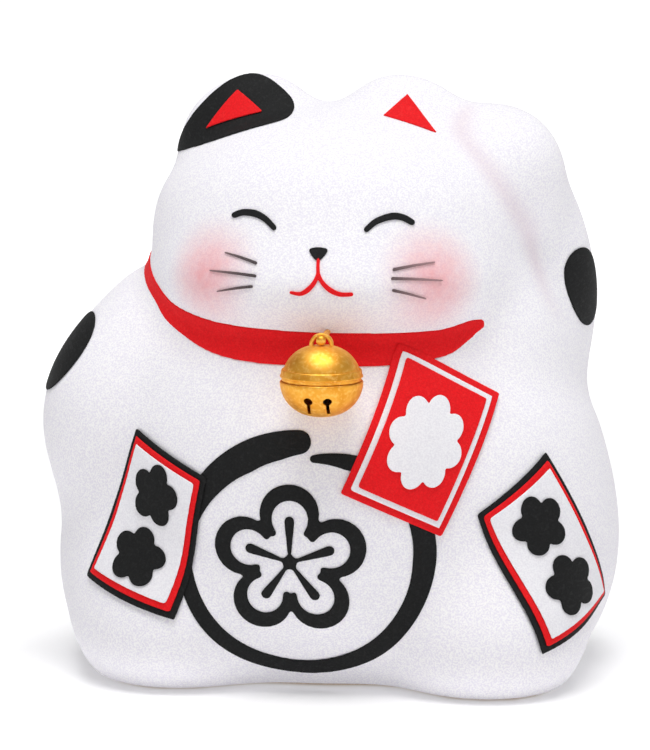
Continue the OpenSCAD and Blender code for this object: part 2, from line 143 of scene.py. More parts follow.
class Wire:
    """A socket that can be added, subtracted and multiplied."""

    def __init__(self, socket):
        self.socket = socket

    def math(self, operation, first, second):
        node = self.socket.id_data.nodes.new("ShaderNodeMath")
        node.operation = operation
        plug(first, node.inputs[0])
        plug(second, node.inputs[1])
        return Wire(node.outputs[0])

    def __add__(self, other):
        return self.math("ADD", self, other)

    def __sub__(self, other):
        return self.math("SUBTRACT", self, other)

    def __rsub__(self, other):
        return self.math("SUBTRACT", other, self)

    def __mul__(self, other):
        return self.math("MULTIPLY", self, other)

    __radd__ = __add__
    __rmul__ = __mul__


class Finish:
    """A material with a Principled shader, built node by node."""

    def __init__(self, name, **constants):
        self.material = bpy.data.materials.new(name)
        self.material.use_nodes = True
        self.tree = self.material.node_tree
        self.shader = self.tree.nodes["Principled BSDF"]
        for socket, value in constants.items():
            self.set(socket.replace("_", " ").title().replace("Ior", "IOR"), value)
        self.place = self.node("ShaderNodeTexCoord", {}, output="Object")

    def set(self, socket, value):
        plug(value, self.shader.inputs[socket])

    def node(self, kind, settings, output=0, **inputs):
        node = self.tree.nodes.new(kind)
        for name, value in settings.items():
            setattr(node, name, value)
        for name, value in inputs.items():
            key = int(name[1:]) if name[0] == "i" and name[1:].isdigit() else name.replace("_", " ")
            plug(value, node.inputs[key])
        return Wire(node.outputs[output])

    def moved(self, vector, scale, turn=(0, 0, 0)):
        return self.node("ShaderNodeMapping", {}, Vector=vector, Scale=scale, Rotation=turn)

    def noise(self, vector, scale, detail=3.0, output=0):
        return self.node("ShaderNodeTexNoise", {}, output, Vector=vector, Scale=scale, Detail=detail)

    def mix(self, amount, first, second):
        settings = {"data_type": "RGBA", "clamp_factor": True}
        return self.node("ShaderNodeMix", settings, 2, i0=amount, i6=first, i7=second)

    def between(self, value, low, high, to_low=0.0, to_high=1.0):
        """A soft step: to_low up to low, to_high from high on."""
        return self.node("ShaderNodeMapRange", {"interpolation_type": "SMOOTHSTEP"},
                         Value=value, From_Min=low, From_Max=high, To_Min=to_low, To_Max=to_high)

    def bump(self, height, distance, strength=1.0):
        self.set("Normal", self.node("ShaderNodeBump", {}, Height=height, Distance=distance, Strength=strength))


print("shader helpers ready")

# %% [markdown]
# ## Paper with long fibres
# Paper of this kind is made of plant fibres that are millimetres long. They show as fine, wandering lines,
# a little lighter or darker than the sheet, in a soft cloudy ground. Each layer of fibres is a noise
# texture drawn out one way, with its coordinates bent by a larger noise first. Only its crests are kept, so
# it gives thin threads. Two layers lie across each other, and a fine grain lies over both.

# %% Fibres and paper finishes
CREST = (0.56, 0.66)           # how high a wave must be to show as a thread
LONG_FIBRE, SHORT_FIBRE = 0.009, 0.006
GRAIN_SCALE, CLOUD_SCALE = 3000.0, 3200.0


def fibres(finish, length, turn):
    """A mask of thin threads about length metres long."""
    bend = finish.noise(finish.place, 0.9 / length, 2.0, "Color")
    bent = finish.node("ShaderNodeMix", {"data_type": "VECTOR"}, 1,
                       i0=length * 0.35, i4=finish.place, i5=bend)
    stretched = finish.moved(bent, (14.0 / length, 1.2 / length, 14.0 / length), turn)
    wave = finish.noise(stretched, 1.0, 2.0)
    return finish.between(wave, *CREST)


def paper_finish(name, colour, fibre_colour, cloud_colour, show, rough=0.82, height=0.00005):
    finish = Finish(name, roughness=rough, specular_ior_level=0.25)
    across = fibres(finish, LONG_FIBRE, (0.3, 0.5, 0.4))
    along = fibres(finish, SHORT_FIBRE, (1.2, 0.1, 1.9))
    grain = finish.noise(finish.place, GRAIN_SCALE, 3.0)
    clouds = finish.noise(finish.place, CLOUD_SCALE, 2.0)
    tint = finish.mix(finish.between(clouds, 0.38, 0.62), colour, cloud_colour)
    both = across * 0.6 + along * 0.5
    finish.set("Base Color", finish.mix(both * show, tint, fibre_colour))
    finish.set("Roughness", rough - 0.08 * both)
    finish.bump(both * 0.5 + grain, height)
    return finish


BLACK = paper_finish("black_paper", (0.0045, 0.0048, 0.0050, 1), (0.016, 0.0165, 0.017, 1),
                     (0.0075, 0.0078, 0.0082, 1), 0.5, 0.78).material
RED = paper_finish("red_paper", (0.80, 0.0045, 0.009, 1), (0.86, 0.02, 0.02, 1),
                   (0.71, 0.0035, 0.007, 1), 0.4, 0.8).material
WHITE = paper_finish("white_paper", (0.85, 0.84, 0.87, 1), (0.91, 0.90, 0.92, 1),
                     (0.78, 0.765, 0.81, 1), 0.4, 0.85).material
print("paper finishes:", BLACK.name, RED.name, WHITE.name)


# %% Whisker ink
INK_FULL, INK_DRY = 11 * MM, 22 * MM       # how far out the ink is full, and where it has run dry


def whisker_ink():
    """Thin ink that starts dark beside the nose and fades as the brush runs dry."""
    finish = Finish("whisker_ink", roughness=0.8)
    across = finish.node("ShaderNodeSeparateXYZ", {}, 0, Vector=finish.place)
    dry = finish.between(across * across, INK_FULL**2, INK_DRY**2) * 0.7
    speckle = finish.between(finish.noise(finish.place, 2600.0), 0.4, 0.7)
    dark = finish.mix(speckle, (0.055, 0.042, 0.045, 1), (0.10, 0.075, 0.08, 1))
    finish.set("Base Color", finish.mix(dry, dark, (0.42, 0.25, 0.26, 1)))
    finish.bump(speckle, 0.00004)
    return finish.material


INK = whisker_ink()
print("ink:", INK.name)

# %% [markdown]
# ## The covering paper, its dyed cheeks and the painted shade in the fold
# The white skin is the same paper with two soft spots of pink rubbed into the cheeks. The fold beside the
# raised arm gets a darker greyish pink, partly a pink tint and partly painted shade that darkens the fold. A
# spot is a distance to a point, turned into a soft mask. The fold's painted shade is stored on the mesh as a
# point attribute, which is worked out when the skin is made.

# %% Skin finish
CHEEKS = ((-20.3, -31.4, 78.0), (21.6, -31.2, 77.4))
CHEEK_REACH = 13.0 * MM
BLUSH = 0.42
# strength of the painted shade, with a little pink, in the fold beside the raised arm
FOLD_SHADE_STRENGTH = 0.45

skin = paper_finish("covering_paper", (0.92, 0.91, 0.92, 1), (0.93, 0.92, 0.94, 1),
                    (0.80, 0.775, 0.85, 1), 0.25, 0.86, 0.00006)
colour = Wire(skin.shader.inputs["Base Color"].links[0].from_socket)
blush = None
for cheek in CHEEKS:
    gap = skin.node("ShaderNodeVectorMath", {"operation": "DISTANCE"}, "Value",
                    i0=skin.place, i1=Vector(cheek) * MM)
    spot = skin.between(gap, 0.0, CHEEK_REACH, 1.0, 0.0)
    blush = spot if blush is None else blush + spot
uneven = skin.noise(skin.place, 600.0, 4.0)
colour = skin.mix(blush * (BLUSH + BLUSH * uneven), colour, (0.83, 0.24, 0.26, 1))
# painted shade in the fold between the head and the raised arm: the skin turns a darker greyish pink there,
# partly a pink tint and partly shade
fold_shade = skin.node("ShaderNodeAttribute", {"attribute_name": "fold_shade"}, "Fac")
colour = skin.mix(fold_shade * FOLD_SHADE_STRENGTH, colour, (0.70, 0.55, 0.62, 1))
skin.set("Base Color", colour)
SKIN = skin.material
print("skin finish with", len(CHEEKS), "cheeks")

# %% [markdown]
# ## Brass, clay, rubber and steel
# The bell is thin brass with a gilt wash: bright where it is rubbed, deeper and redder in the hollows. The
# clay shows only inside the drain hole, and the stopper is soft rubber with a little bloom.

# %% Other finishes
def gilt_finish():
    finish = Finish("gilt_brass", metallic=1.0)
    wear = finish.noise(finish.place, 1400.0, 4.0)
    dapple = finish.noise(finish.place, 260.0, 2.0)
    gilt = finish.mix(finish.between(dapple, 0.3, 0.7), (0.82, 0.34, 0.03, 1), (0.96, 0.49, 0.07, 1))
    rubbed = finish.between(wear, 0.45, 0.75)
    finish.set("Base Color", finish.mix(rubbed, gilt, (1.0, 0.60, 0.14, 1)))
    finish.set("Roughness", 0.46 + 0.14 * wear)
    finish.bump(dapple + 0.25 * wear, 0.00012, 0.5)
    return finish.material


def plain_finish(name, light, dark, rough, scale, height, metallic=0.0):
    finish = Finish(name, metallic=metallic)
    grain = finish.noise(finish.place, scale, 5.0)
    finish.set("Base Color", finish.mix(finish.between(grain, 0.35, 0.65), light, dark))
    finish.set("Roughness", rough + 0.12 * grain)
    finish.bump(grain, height)
    return finish.material


GILT = gilt_finish()
CLAY = plain_finish("fired_clay", (0.62, 0.52, 0.43, 1), (0.52, 0.42, 0.34, 1),
                    rough=0.8, scale=1400.0, height=0.0001)
RUBBER = plain_finish("soft_rubber", (0.66, 0.65, 0.62, 1), (0.58, 0.57, 0.54, 1),
                      rough=0.5, scale=700.0, height=0.00003)
STEEL = plain_finish("pellet_steel", (0.55, 0.55, 0.57, 1), (0.42, 0.42, 0.44, 1),
                     rough=0.25, scale=2000.0, height=0.00001, metallic=1.0)
for node, finish in (("body_casting", CLAY), ("stopper", RUBBER), ("bell_pellet", STEEL)):
    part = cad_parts[node]
    part.data.materials.clear()
    part.data.materials.append(finish)
print("finishes on the carried-over parts: clay, rubber, steel")

# %% [markdown]
# ## The form of the cat
# A figure this soft has no straight line to measure from. It is a run of egg-shaped masses that melt into
# each other, just as a modeller adds balls of clay and smooths the joins. The same list shapes the casting
# in the frame, so a point found with it lies on the casting. Each row is a middle, three half sizes, a lean
# about the front-to-back axis in degrees, and how wide the join is, all in millimetres. The joins of the
# raised arm and the feet are wider here than in the clay, because pasted paper bridges a deep fold. For the
# same reason a soft mass fills the valley at the root of the raised arm.

# %% Masses and the distance to them
MASSES = [
    ((1, 2, 27), (50, 45, 37), 0, 1),                    # belly
    ((-0.5, -1, 50), (40.5, 38, 29.5), 0, 18),           # chest
    ((32.3, -1, 33.7), (17.7, 29, 23.3), 6, 12),         # left flank
    ((-32, -1, 15.6), (18.6, 30, 23), 0, 12),            # right haunch
    ((34.6, -3, 17.8), (17, 30, 20), 0, 12),             # left haunch
    ((-27.5, -26, 9.5), (14.8, 15, 11), 0, 13),          # right foot
    ((32, -28, 8.5), (15.6, 16, 12), 0, 13),             # left foot
    ((-29.7, 0, 58.3), (17, 21, 18), 0, 9),              # right shoulder
    ((-39.7, -6, 46.5), (15, 19, 19.3), 0, 7),           # right arm
    ((1.3, -2, 84), (34.9, 31, 23), 0, 4),               # skull
    ((1.3, -8, 75.5), (33.5, 31, 15), 0, 6),             # cheeks
    ((-16.7, 0, 102), (12.5, 7.5, 9.5), -28, 5),         # right ear
    ((15.5, 0, 102), (12.5, 7.5, 9.5), 28, 5),           # left ear
    ((33.5, 11, 74.8), (15.4, 15, 27.6), -10.8, 7),      # raised arm
    ((31.2, 1, 93.6), (12.6, 13, 13), 0, 6),             # raised paw
    ((31.5, 0, 63), (13.5, 18, 14), -8, 8),              # root of the raised arm
    ((0, 40, 18), (11, 11, 10.5), 0, 9),                 # bobtail
]
FIRST_OF_ARM = 13      # place of the raised arm in the list


def mass_distance(points, mass):
    middle, half, lean, _ = mass
    c, s = math.cos(math.radians(lean)), math.sin(math.radians(lean))
    turned = (points - np.array(middle)) @ np.array([[c, 0, -s], [0, 1, 0], [s, 0, c]]).T
    half = np.array(half)
    k0 = np.linalg.norm(turned / half, axis=1)
    k1 = np.linalg.norm(turned / half**2, axis=1)
    return k0 * (k0 - 1) / np.maximum(k1, 0.001)


def form(points, masses=MASSES):
    """About the distance from the cat's surface, negative inside."""
    near = mass_distance(points, masses[0])
    for mass in masses[1:]:
        other, wide = mass_distance(points, mass), mass[3]
        join = np.maximum(wide - np.abs(near - other), 0) / wide
        near = np.minimum(near, other) - join**2 * wide / 4
    return near


FAR = 95.0             # outside the cat in every direction
SMALL = 0.3            # step to each side when a slope is measured
CAREFUL = 0.92         # share of the distance walked in one step


def walk_in(start, inward, distance=form, rounds=26):
    """Moves each point along its direction until it lies on the surface."""
    points = start.copy()
    for _ in range(rounds):
        points += inward * (distance(points) * CAREFUL)[:, None]
    return points


def outward(points, distance=form):
    slope = np.stack([distance(points + step) - distance(points - step)
                      for step in np.eye(3) * SMALL], axis=1)
    return slope / np.linalg.norm(slope, axis=1, keepdims=True)


print("the form has", len(MASSES), "masses")

# %% [markdown]
# ## The skin of white paper
# Such a skin could be sculpted, or wrapped with Shrinkwrap round the casting. Here an ico sphere, whose
# triangles are all about the same size, is shrunk onto the form like a balloon, so that no seam or pole
# shows and every curve stays smooth. The sole is pressed flat with a small round at its edge, a hair above
# the bare clay that the cat stands on. Then a round recess is cut under the cat round the drain hole, and
# its lid is taken away.

# %% Skin
SKIN_RISE = 0.45       # outer face of the skin above the casting
SOLE_ROUND = 1.2
SOLE_LIFT = 0.15       # the paper stops just short of the bare clay sole
CORE = np.array((0.0, 0.0, 50.0))


def covered(points):
    """The form with a flat sole and a small round at its edge, out at the skin's face."""
    body = form(points) - SKIN_RISE
    sole = SOLE_LIFT - points[:, 2]
    join = np.maximum(SOLE_ROUND - np.abs(body - sole), 0) / SOLE_ROUND
    return np.maximum(body, sole) + join**2 * SOLE_ROUND / 4


deselect_all()
bpy.ops.mesh.primitive_ico_sphere_add(subdivisions=7, radius=1.0)
skin_piece = bpy.context.object
rays = points_of(skin_piece)
rays /= np.linalg.norm(rays, axis=1, keepdims=True)
on_skin = walk_in(CORE + rays * FAR, -rays, covered, 40)
move_points(skin_piece, on_skin * MM)

# Painted shade with a little pink for the fold between the head and the raised arm: a mask that is full where
# the two forms meet
FOLD_WIDE = 3.4
FOLD_LOW, FOLD_FADE = 66, 12       # the painted shade starts at this height and is full this much higher
FOLD_FRONT = 6                     # and it fades out towards the back
without_arm = form(on_skin, MASSES[:FIRST_OF_ARM])
arm_only = form(on_skin, MASSES[FIRST_OF_ARM:FIRST_OF_ARM + 2])
fold_shade_value = np.clip(1 - np.abs(without_arm - arm_only) / FOLD_WIDE, 0, 1)
fold_shade_value *= np.clip((on_skin[:, 2] - FOLD_LOW) / FOLD_FADE, 0, 1)
fold_shade_value *= np.clip(-on_skin[:, 1] / FOLD_FRONT, 0, 1)
fold_shade_layer = skin_piece.data.attributes.new("fold_shade", "FLOAT", "POINT")
fold_shade_layer.data.foreach_set("value", np.ascontiguousarray(fold_shade_value, dtype=np.float32))
print("skin:", len(on_skin), "points, lowest at", round(on_skin[:, 2].min(), 3), "mm")

# %% Drain recess through the skin
stopper_low, stopper_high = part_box("stopper")
drain_x = (stopper_low.x + stopper_high.x) / 2
drain_y = (stopper_low.y + stopper_high.y) / 2
RECESS_RADIUS = 12.9 * MM
RECESS_DEPTH = 3.1 * MM

deselect_all()
bpy.ops.mesh.primitive_cylinder_add(vertices=96, radius=RECESS_RADIUS, depth=2 * RECESS_DEPTH,
                                    location=(drain_x, drain_y, 0))
cutter = bpy.context.object
apply_modifier(skin_piece, "BOOLEAN", operation="DIFFERENCE", object=cutter, solver="EXACT")
bpy.data.objects.remove(cutter)
pick(skin_piece)
bpy.ops.object.mode_set(mode="EDIT")
bpy.ops.mesh.select_mode(type="FACE")
bpy.ops.mesh.select_all(action="DESELECT")
bpy.ops.object.mode_set(mode="OBJECT")
lid = [f for f in skin_piece.data.polygons
       if f.center.z > RECESS_DEPTH * 0.97 and abs(f.normal.z) > 0.99
       and math.hypot(f.center.x - drain_x, f.center.y - drain_y) < RECESS_RADIUS
       and f.center.z < 2 * RECESS_DEPTH]
for face in lid:
    face.select = True
bpy.ops.object.mode_set(mode="EDIT")
bpy.ops.mesh.delete(type="FACE")
bpy.ops.mesh.select_mode(type="VERT")
bpy.ops.object.mode_set(mode="OBJECT")
settle(skin_piece, "paper_skin", "figure", "covered_body", SKIN)
print("recess opened:", len(lid), "faces removed")

# %% [markdown]
# ## Cutting and pasting paper
# A cut-out starts as a flat outline with a thickness. A voxel remesh turns it into an even net of small
# faces, fuses strokes that cross, and softens the cut edge. Then it is pasted on: each point walks onto the
# cat from the side that the paper was pressed from, and rises along the surface's own direction by the lift
# of its layer. Facing is an azimuth, 0 at the front and positive to the cat's left, and an elevation.

# %% Outlines
def open_curve(points, count):
    """A smooth curve through the points (Catmull-Rom), count places to a span."""
    points = [np.array(p, dtype=float) for p in points]
    last = len(points) - 1
    curve = []
    for i in range(last):
        a, b, c, d = (points[min(max(k, 0), last)] for k in (i - 1, i, i + 1, i + 2))
        for t in np.arange(count) / count:
            curve.append(0.5 * (2 * b + (c - a) * t + (2 * a - 5 * b + 4 * c - d) * t**2
                                + (3 * b - a - 3 * c + d) * t**3))
    return curve + [points[last]]


def closed_curve(points, count):
    n = len(points)
    ring = open_curve([points[k % n] for k in range(-1, n + 2)], count)
    return ring[count:count * (n + 1)]


def stroke(path, widths):
    """The outline of a brush stroke with round ends: a width for each point of its path."""
    path = np.array(path, dtype=float)
    ahead = np.gradient(path, axis=0)
    ahead /= np.linalg.norm(ahead, axis=1, keepdims=True)
    across = np.stack([-ahead[:, 1], ahead[:, 0]], axis=1)
    half = np.array(widths, dtype=float)[:, None] / 2
    turns = np.radians(np.arange(15, 180, 15))
    end_cap, start_cap = (
        [path[end] + sign * half[end] * (across[end] * math.cos(a) + ahead[end] * math.sin(a)) for a in turns]
        for end, sign in ((-1, 1), (0, -1)))
    return list(path + across * half) + end_cap + list((path - across * half)[::-1]) + start_cap


print("outline helpers ready")

# %% Cutting and pasting
FLAT_THICK = 1.2       # thickness while flat, before it is pressed
BARE = 0.47            # lift of the first layer, just off the skin


def add_outline(points):
    """A flat outline as a solid plate, in millimetres."""
    deselect_all()
    bpy.ops.mesh.primitive_circle_add(vertices=len(points), radius=1.0, fill_type="NGON")
    plate = bpy.context.object
    for vertex, (x, y) in zip(plate.data.vertices, points):
        vertex.co = (x, y, 0)

    def thicken():
        bpy.ops.mesh.extrude_region_move(TRANSFORM_OT_translate={"value": (0, 0, FLAT_THICK)})
        bpy.ops.mesh.select_all(action="SELECT")

    edit(plate, thicken, point_outwards)
    return plate


def cut(outlines, fineness=0.34, soften=3):
    """Joins the plates and nets them evenly."""
    plates = [add_outline(points) for points in outlines]
    deselect_all()
    for plate in plates:
        plate.select_set(True)
    bpy.context.view_layer.objects.active = plates[0]
    if len(plates) > 1:
        bpy.ops.object.join()
    sheet = bpy.context.object
    apply_modifier(sheet, "REMESH", mode="VOXEL", voxel_size=fineness)
    apply_modifier(sheet, "SMOOTH", factor=0.5, iterations=soften)
    return sheet


def press_flat(facing):
    """Where flat points start and which way they walk, for paper pressed on from one side."""
    azimuth, elevation = (math.radians(a) for a in facing)
    face = np.array((math.sin(azimuth) * math.cos(elevation),
                     -math.cos(azimuth) * math.cos(elevation), math.sin(elevation)))
    side = np.array((math.cos(azimuth), math.sin(azimuth), 0))
    up = np.cross(face, side)
    return lambda x, y: (face * FAR + np.outer(x, side) + np.outer(y, up), np.tile(-face, (len(x), 1)))


NECK = 36.0            # radius that the collar is unrolled at


def press_round(x, y):
    """The same for a band that goes round the neck: x is the way round, y the height."""
    angle = x / NECK
    away = np.stack([np.sin(angle), -np.cos(angle), np.zeros(len(x))], axis=1)
    return away * FAR + np.outer(y, (0, 0, 1)), -away


def paste(sheet, press, lift, thick):
    points = points_of(sheet)
    start, inward = press(points[:, 0], points[:, 1])
    on_cat = walk_in(start, inward)
    rise = lift + points[:, 2] / FLAT_THICK * thick
    move_points(sheet, (on_cat + outward(on_cat) * rise[:, None]) * MM)
    edit(sheet, point_outwards)


PAPER_THICK = 0.32


def cut_out(node, outlines, press, finish, slot, lift=BARE, thick=PAPER_THICK, fineness=0.34):
    sheet = cut(outlines, fineness)
    paste(sheet, press, lift, thick)
    return settle(sheet, node + "_paper", "figure", slot, finish, node)


print("cutting and pasting ready")

# %% [markdown]
# ## Ears and face
# The black patch covers the cat's right ear, with a red triangle on it. The face is a few brush strokes:
# closed eyes that curve up, a small black nose, a mouth in two turns, and whiskers that thin towards their
# tips.

# %% Ears
EAR_RIGHT, EAR_LEFT, FRONT = (-15, 30), (12, 30), (0, 0)
SECOND = BARE + PAPER_THICK + 0.03


def soft_triangle(corners, softness=0.1):
    corners = [np.array(c, dtype=float) for c in corners]
    points = []
    for i in range(3):
        here, before, after = corners[i], corners[i - 1], corners[(i + 1) % 3]
        points += [here + (before - here) * softness, here + (after - here) * softness]
    return closed_curve(points, 5)


ear_patch = closed_curve([(-27.8, 80.2), (-19, 78.6), (-7, 81.8), (-3.6, 84.8), (-6.8, 91),
                          (-15, 94.6), (-22.4, 88)], 8)
cut_out("ear_patch", [ear_patch], press_flat(EAR_RIGHT), BLACK, "black_paper")
cut_out("ear_lining_right", [soft_triangle([(-15.6, 90.2), (-20.4, 82.2), (-9.6, 85.6)])],
        press_flat(EAR_RIGHT), RED, "red_paper", SECOND, fineness=0.25)
cut_out("ear_lining_left", [soft_triangle([(8.1, 84.9), (13.3, 90.3), (18, 81)])],
        press_flat(EAR_LEFT), RED, "red_paper", fineness=0.25)

# %% Eyes, nose, mouth and whiskers
def tapered(count, start, middle, end):
    return np.interp(np.linspace(0, 1, count), (0, 0.5, 1), (start, middle, end))


def brushed(points, start, middle, end, count=6):
    path = open_curve(points, count)
    return stroke(path, tapered(len(path), start, middle, end))


cut_out("eye_right", [brushed([(-15.1, 88.5), (-13.4, 89.1), (-11, 89), (-9, 88.1), (-7.4, 86.7)],
                              0.95, 1.25, 1.0)], press_flat(FRONT), BLACK, "black_paper", fineness=0.16)
cut_out("eye_left", [brushed([(9.6, 86.6), (11.3, 88), (14, 88.8), (16, 88.5), (17.6, 87.6)],
                             1.0, 1.25, 0.95)], press_flat(FRONT), BLACK, "black_paper", fineness=0.16)
cut_out("nose", [closed_curve([(-0.6, 82.9), (1.1, 83.4), (2.8, 82.9), (1.1, 81.1)], 8)],
        press_flat(FRONT), BLACK, "black_paper", fineness=0.16)
cut_out("mouth", [
    brushed([(1.2, 81.4), (1.2, 80.2), (1.3, 78.8)], 0.6, 0.6, 0.7),
    brushed([(1.3, 79), (0.7, 77.5), (-0.5, 76.2), (-1.9, 75.5), (-3.6, 75.7)], 0.6, 0.9, 0.5),
    brushed([(1.3, 79), (2.1, 77.5), (3.6, 76.2), (5.4, 75.5), (7.4, 75.5)], 0.6, 0.9, 0.65),
], press_flat(FRONT), RED, "red_paper", fineness=0.15)

WHISKERS = {      # root and tip of each hair
    "whiskers_right": (((-10.4, 80.4), (-16.4, 81.8)), ((-10.4, 78.2), (-19.2, 78.5)),
                       ((-11, 76.4), (-17.6, 75.1))),
    "whiskers_left": (((14.8, 79.5), (21.8, 80.4)), ((14.6, 78), (23.2, 77.2)),
                      ((14.8, 76), (20.4, 74.3))),
}
ARCH = 0.1
for node, rows in WHISKERS.items():
    hairs = []
    for root, tip in rows:
        crown = ((root[0] + tip[0]) / 2, (root[1] + tip[1]) / 2 + ARCH)
        hairs.append(brushed([root, crown, tip], 0.52, 0.42, 0.22))
    cut_out(node, hairs, press_flat(FRONT), INK, "black_paper", fineness=0.12)

# %% [markdown]
# ## Collar and spots
# The collar is one band of red paper in the fold of the neck. It is widest under the chin, thins to a
# rounded end by the raised arm, and runs on round the back. It is drawn unrolled: the way round in degrees,
# the height and the width.

# %% Collar and arm spots
COLLAR = [
    (54, 67.9, 2.4), (51.5, 67.5, 3.4), (48.5, 66.8, 4.2), (41, 65.4, 5.3), (32, 64.9, 6), (20, 64.7, 6.6),
    (0, 64.9, 6.8), (-20, 65.3, 6.8), (-35, 66.5, 5.9), (-50, 69.2, 4.4), (-60, 72.8, 3.2), (-75, 76.3, 3),
    (-90, 77.6, 3.2), (-110, 76.4, 3.8), (-130, 73.2, 4.6), (-160, 71.8, 5), (-195, 71.8, 5),
    (-220, 72.6, 4.6), (-232, 73.6, 3.6),
]
band = np.array(open_curve([(math.radians(a) * NECK, z, w) for a, z, w in COLLAR], 6))
cut_out("collar", [stroke(band[:, :2], band[:, 2])], press_round, RED, "red_paper", fineness=0.42)


def round_spot(middle, half, count=40):
    angles = np.linspace(0, 2 * math.pi, count, endpoint=False)
    return [(middle[0] + half[0] * math.sin(a), middle[1] + half[1] * math.cos(a)) for a in angles]


cut_out("arm_patch_right", [round_spot((-7.5, 59.8), (8.6, 7.2))], press_flat((-70, 0)),
        BLACK, "black_paper")
cut_out("arm_patch_left", [round_spot((24.1, 71.9), (7.2, 7.4))], press_flat((65, 0)),
        BLACK, "black_paper")

# %% [markdown]
# ## The brush ring and its blossom
# The ring is one stroke of a full brush: it lands thick at the top, thins down the left, swells again on
# the right and runs dry to a point inside its own start. The blossom in it is drawn with the same brush:
# five petals that open to the middle, with a stamen in each.

# %% Ring
RING_MIDDLE = (-1.0, 27.2)
RING_RADIUS = 24.2
WIDTHS = [(0, 4.4), (0.03, 5.2), (0.08, 5.6), (0.14, 4.8), (0.25, 3), (0.5, 2.8), (0.62, 3.5),
          (0.75, 4.3), (0.86, 3.8), (0.95, 2.9), (1, 1.5)]
OUTER = [(0, -0.2), (0.06, 0), (0.84, 0), (0.93, -2.2), (1, -4.6)]      # how far the outer edge moves out
RING_START, RING_SWEEP = 92, 352
RING_SQUASH = 0.97

along = np.linspace(0, 1, 160)
width = np.interp(along, *zip(*WIDTHS))
reach = RING_RADIUS + np.interp(along, *zip(*OUTER)) - width / 2
angle = np.radians(RING_START + RING_SWEEP * along)
ring = np.stack([reach * np.cos(angle), reach * RING_SQUASH * np.sin(angle)], axis=1) + RING_MIDDLE
cut_out("belly_ring", [stroke(ring, width)], press_flat(FRONT), BLACK, "black_paper")

# %% Blossom
def blossom(middle, reach, petal, weight):
    """Outlines of a brush-drawn blossom: petal arcs, stamens and a dot."""
    outlines = []
    for a in np.radians(90 + 72 * np.arange(5)):
        away = np.array((math.cos(a), math.sin(a)))
        sweep = a + np.radians(np.linspace(-136, 136, 22))
        arc = [middle + reach * away + petal * np.array((math.cos(t), math.sin(t))) for t in sweep]
        swell = np.sin(np.linspace(0.12, 2.9, 22)) ** 0.8
        outlines.append(stroke(arc, weight * (0.35 + 1.65 * swell)))
        stem = [middle + away * petal * f for f in np.linspace(0.45, 1.75, 6)]
        outlines.append(stroke(stem, weight * np.linspace(0.5, 1.25, 6)))
    outlines.append(round_spot(middle, (petal * 0.3, petal * 0.3), 24))
    return outlines


cut_out("belly_emblem", blossom(np.array((-3.4, 26.2)), 8.6, 4.4, 1.5), press_flat(FRONT),
        BLACK, "black_paper")

# %% [markdown]
# ## Three tags
# Each tag is a stack of rectangles, one smaller than the other, so that every sheet shows as a border round
# the next. The red tag has a thin white line and a soft cloud shape, the black ones a red line, a white
# panel and two small blossoms, one above the other.

# %% Tags
STEP = 0.34            # from one sheet of a stack to the next
SHEET = 0.3            # thickness of a sheet
RED_SHEETS = (("backing", 0, RED, "red_paper"), ("liner", 1.3, WHITE, "white_paper"),
              ("panel", 2.3, RED, "red_paper"))      # how far each sheet is drawn in
BLACK_SHEETS = (("backing", 0, BLACK, "black_paper"), ("border", 1.05, RED, "red_paper"),
                ("panel", 2.1, WHITE, "white_paper"))
TAGS = {      # facing, corners from the top left round to the bottom left, sheets
    "red_tag": ((20, 0), ((3.4, 65.7), (22.4, 55.2), (9.2, 30.7), (-9.3, 39.2)), RED_SHEETS),
    "right_tag": ((-32, 0), ((-12.9, 48.3), (5, 41), (0.5, 14.3), (-20.5, 20)), BLACK_SHEETS),
    "left_tag": ((42, 0), ((-1.6, 34.4), (13.7, 44.5), (29.5, 15.6), (4.5, 9.3)), BLACK_SHEETS),
}


def tag_size(corners):
    a, b, c, d = (np.array(corner) for corner in corners)
    return ((np.linalg.norm(b - a) + np.linalg.norm(c - d)) / 2,
            (np.linalg.norm(d - a) + np.linalg.norm(c - b)) / 2)


def on_tag(corners, points):
    """Points measured from a tag's middle, to the right and up, in the flat of its facing."""
    a, b, c, d = (np.array(corner) for corner in corners)
    wide, tall = tag_size(corners)
    placed = []
    for x, y in points:
        u, v = 0.5 + x / wide, 0.5 - y / tall
        placed.append((a * (1 - u) + b * u) * (1 - v) + (d * (1 - u) + c * u) * v)
    return placed


for name, (facing, corners, sheets) in TAGS.items():
    for level, (part, edge, finish, slot) in enumerate(sheets):
        w, h = (size / 2 - edge for size in tag_size(corners))
        outline = on_tag(corners, [(-w, -h), (w, -h), (w, h), (-w, h)])
        cut_out(f"{name}_{part}", [outline], press_flat(facing), finish, slot,
                SECOND + level * STEP, SHEET, 0.36)

# %% Motifs on the tags
def bumpy(middle, half, bumps, depth, count=96):
    """A round outline with soft bumps, for petals and clouds."""
    points = []
    for a in np.linspace(0, 2 * math.pi, count, endpoint=False):
        r = 1 - depth + depth * abs(math.cos(bumps * a / 2)) ** 0.7
        points.append((middle[0] + half[0] * r * math.sin(a), middle[1] + half[1] * r * math.cos(a)))
    return points


TOP_LAYER = SECOND + 3 * STEP
MOTIFS = {    # middles, half sizes, bumps, depth of the bumps
    "red_tag": (((0, 0),), (7.2, 8.8), 8, 0.24, WHITE, "white_paper"),
    "right_tag": (((0, -6.1), (0, 6.1)), (5.7, 5.6), 5, 0.36, BLACK, "black_paper"),
    "left_tag": (((0, -6.1), (0, 6.1)), (6.2, 5.6), 5, 0.36, BLACK, "black_paper"),
}
for name, (middles, half, bumps, depth, finish, slot) in MOTIFS.items():
    facing, corners, _ = TAGS[name]
    shapes = [on_tag(corners, bumpy(middle, half, bumps, depth)) for middle in middles]
    cut_out(f"{name}_emblem", shapes, press_flat(facing), finish, slot,
            TOP_LAYER, SHEET, 0.24)

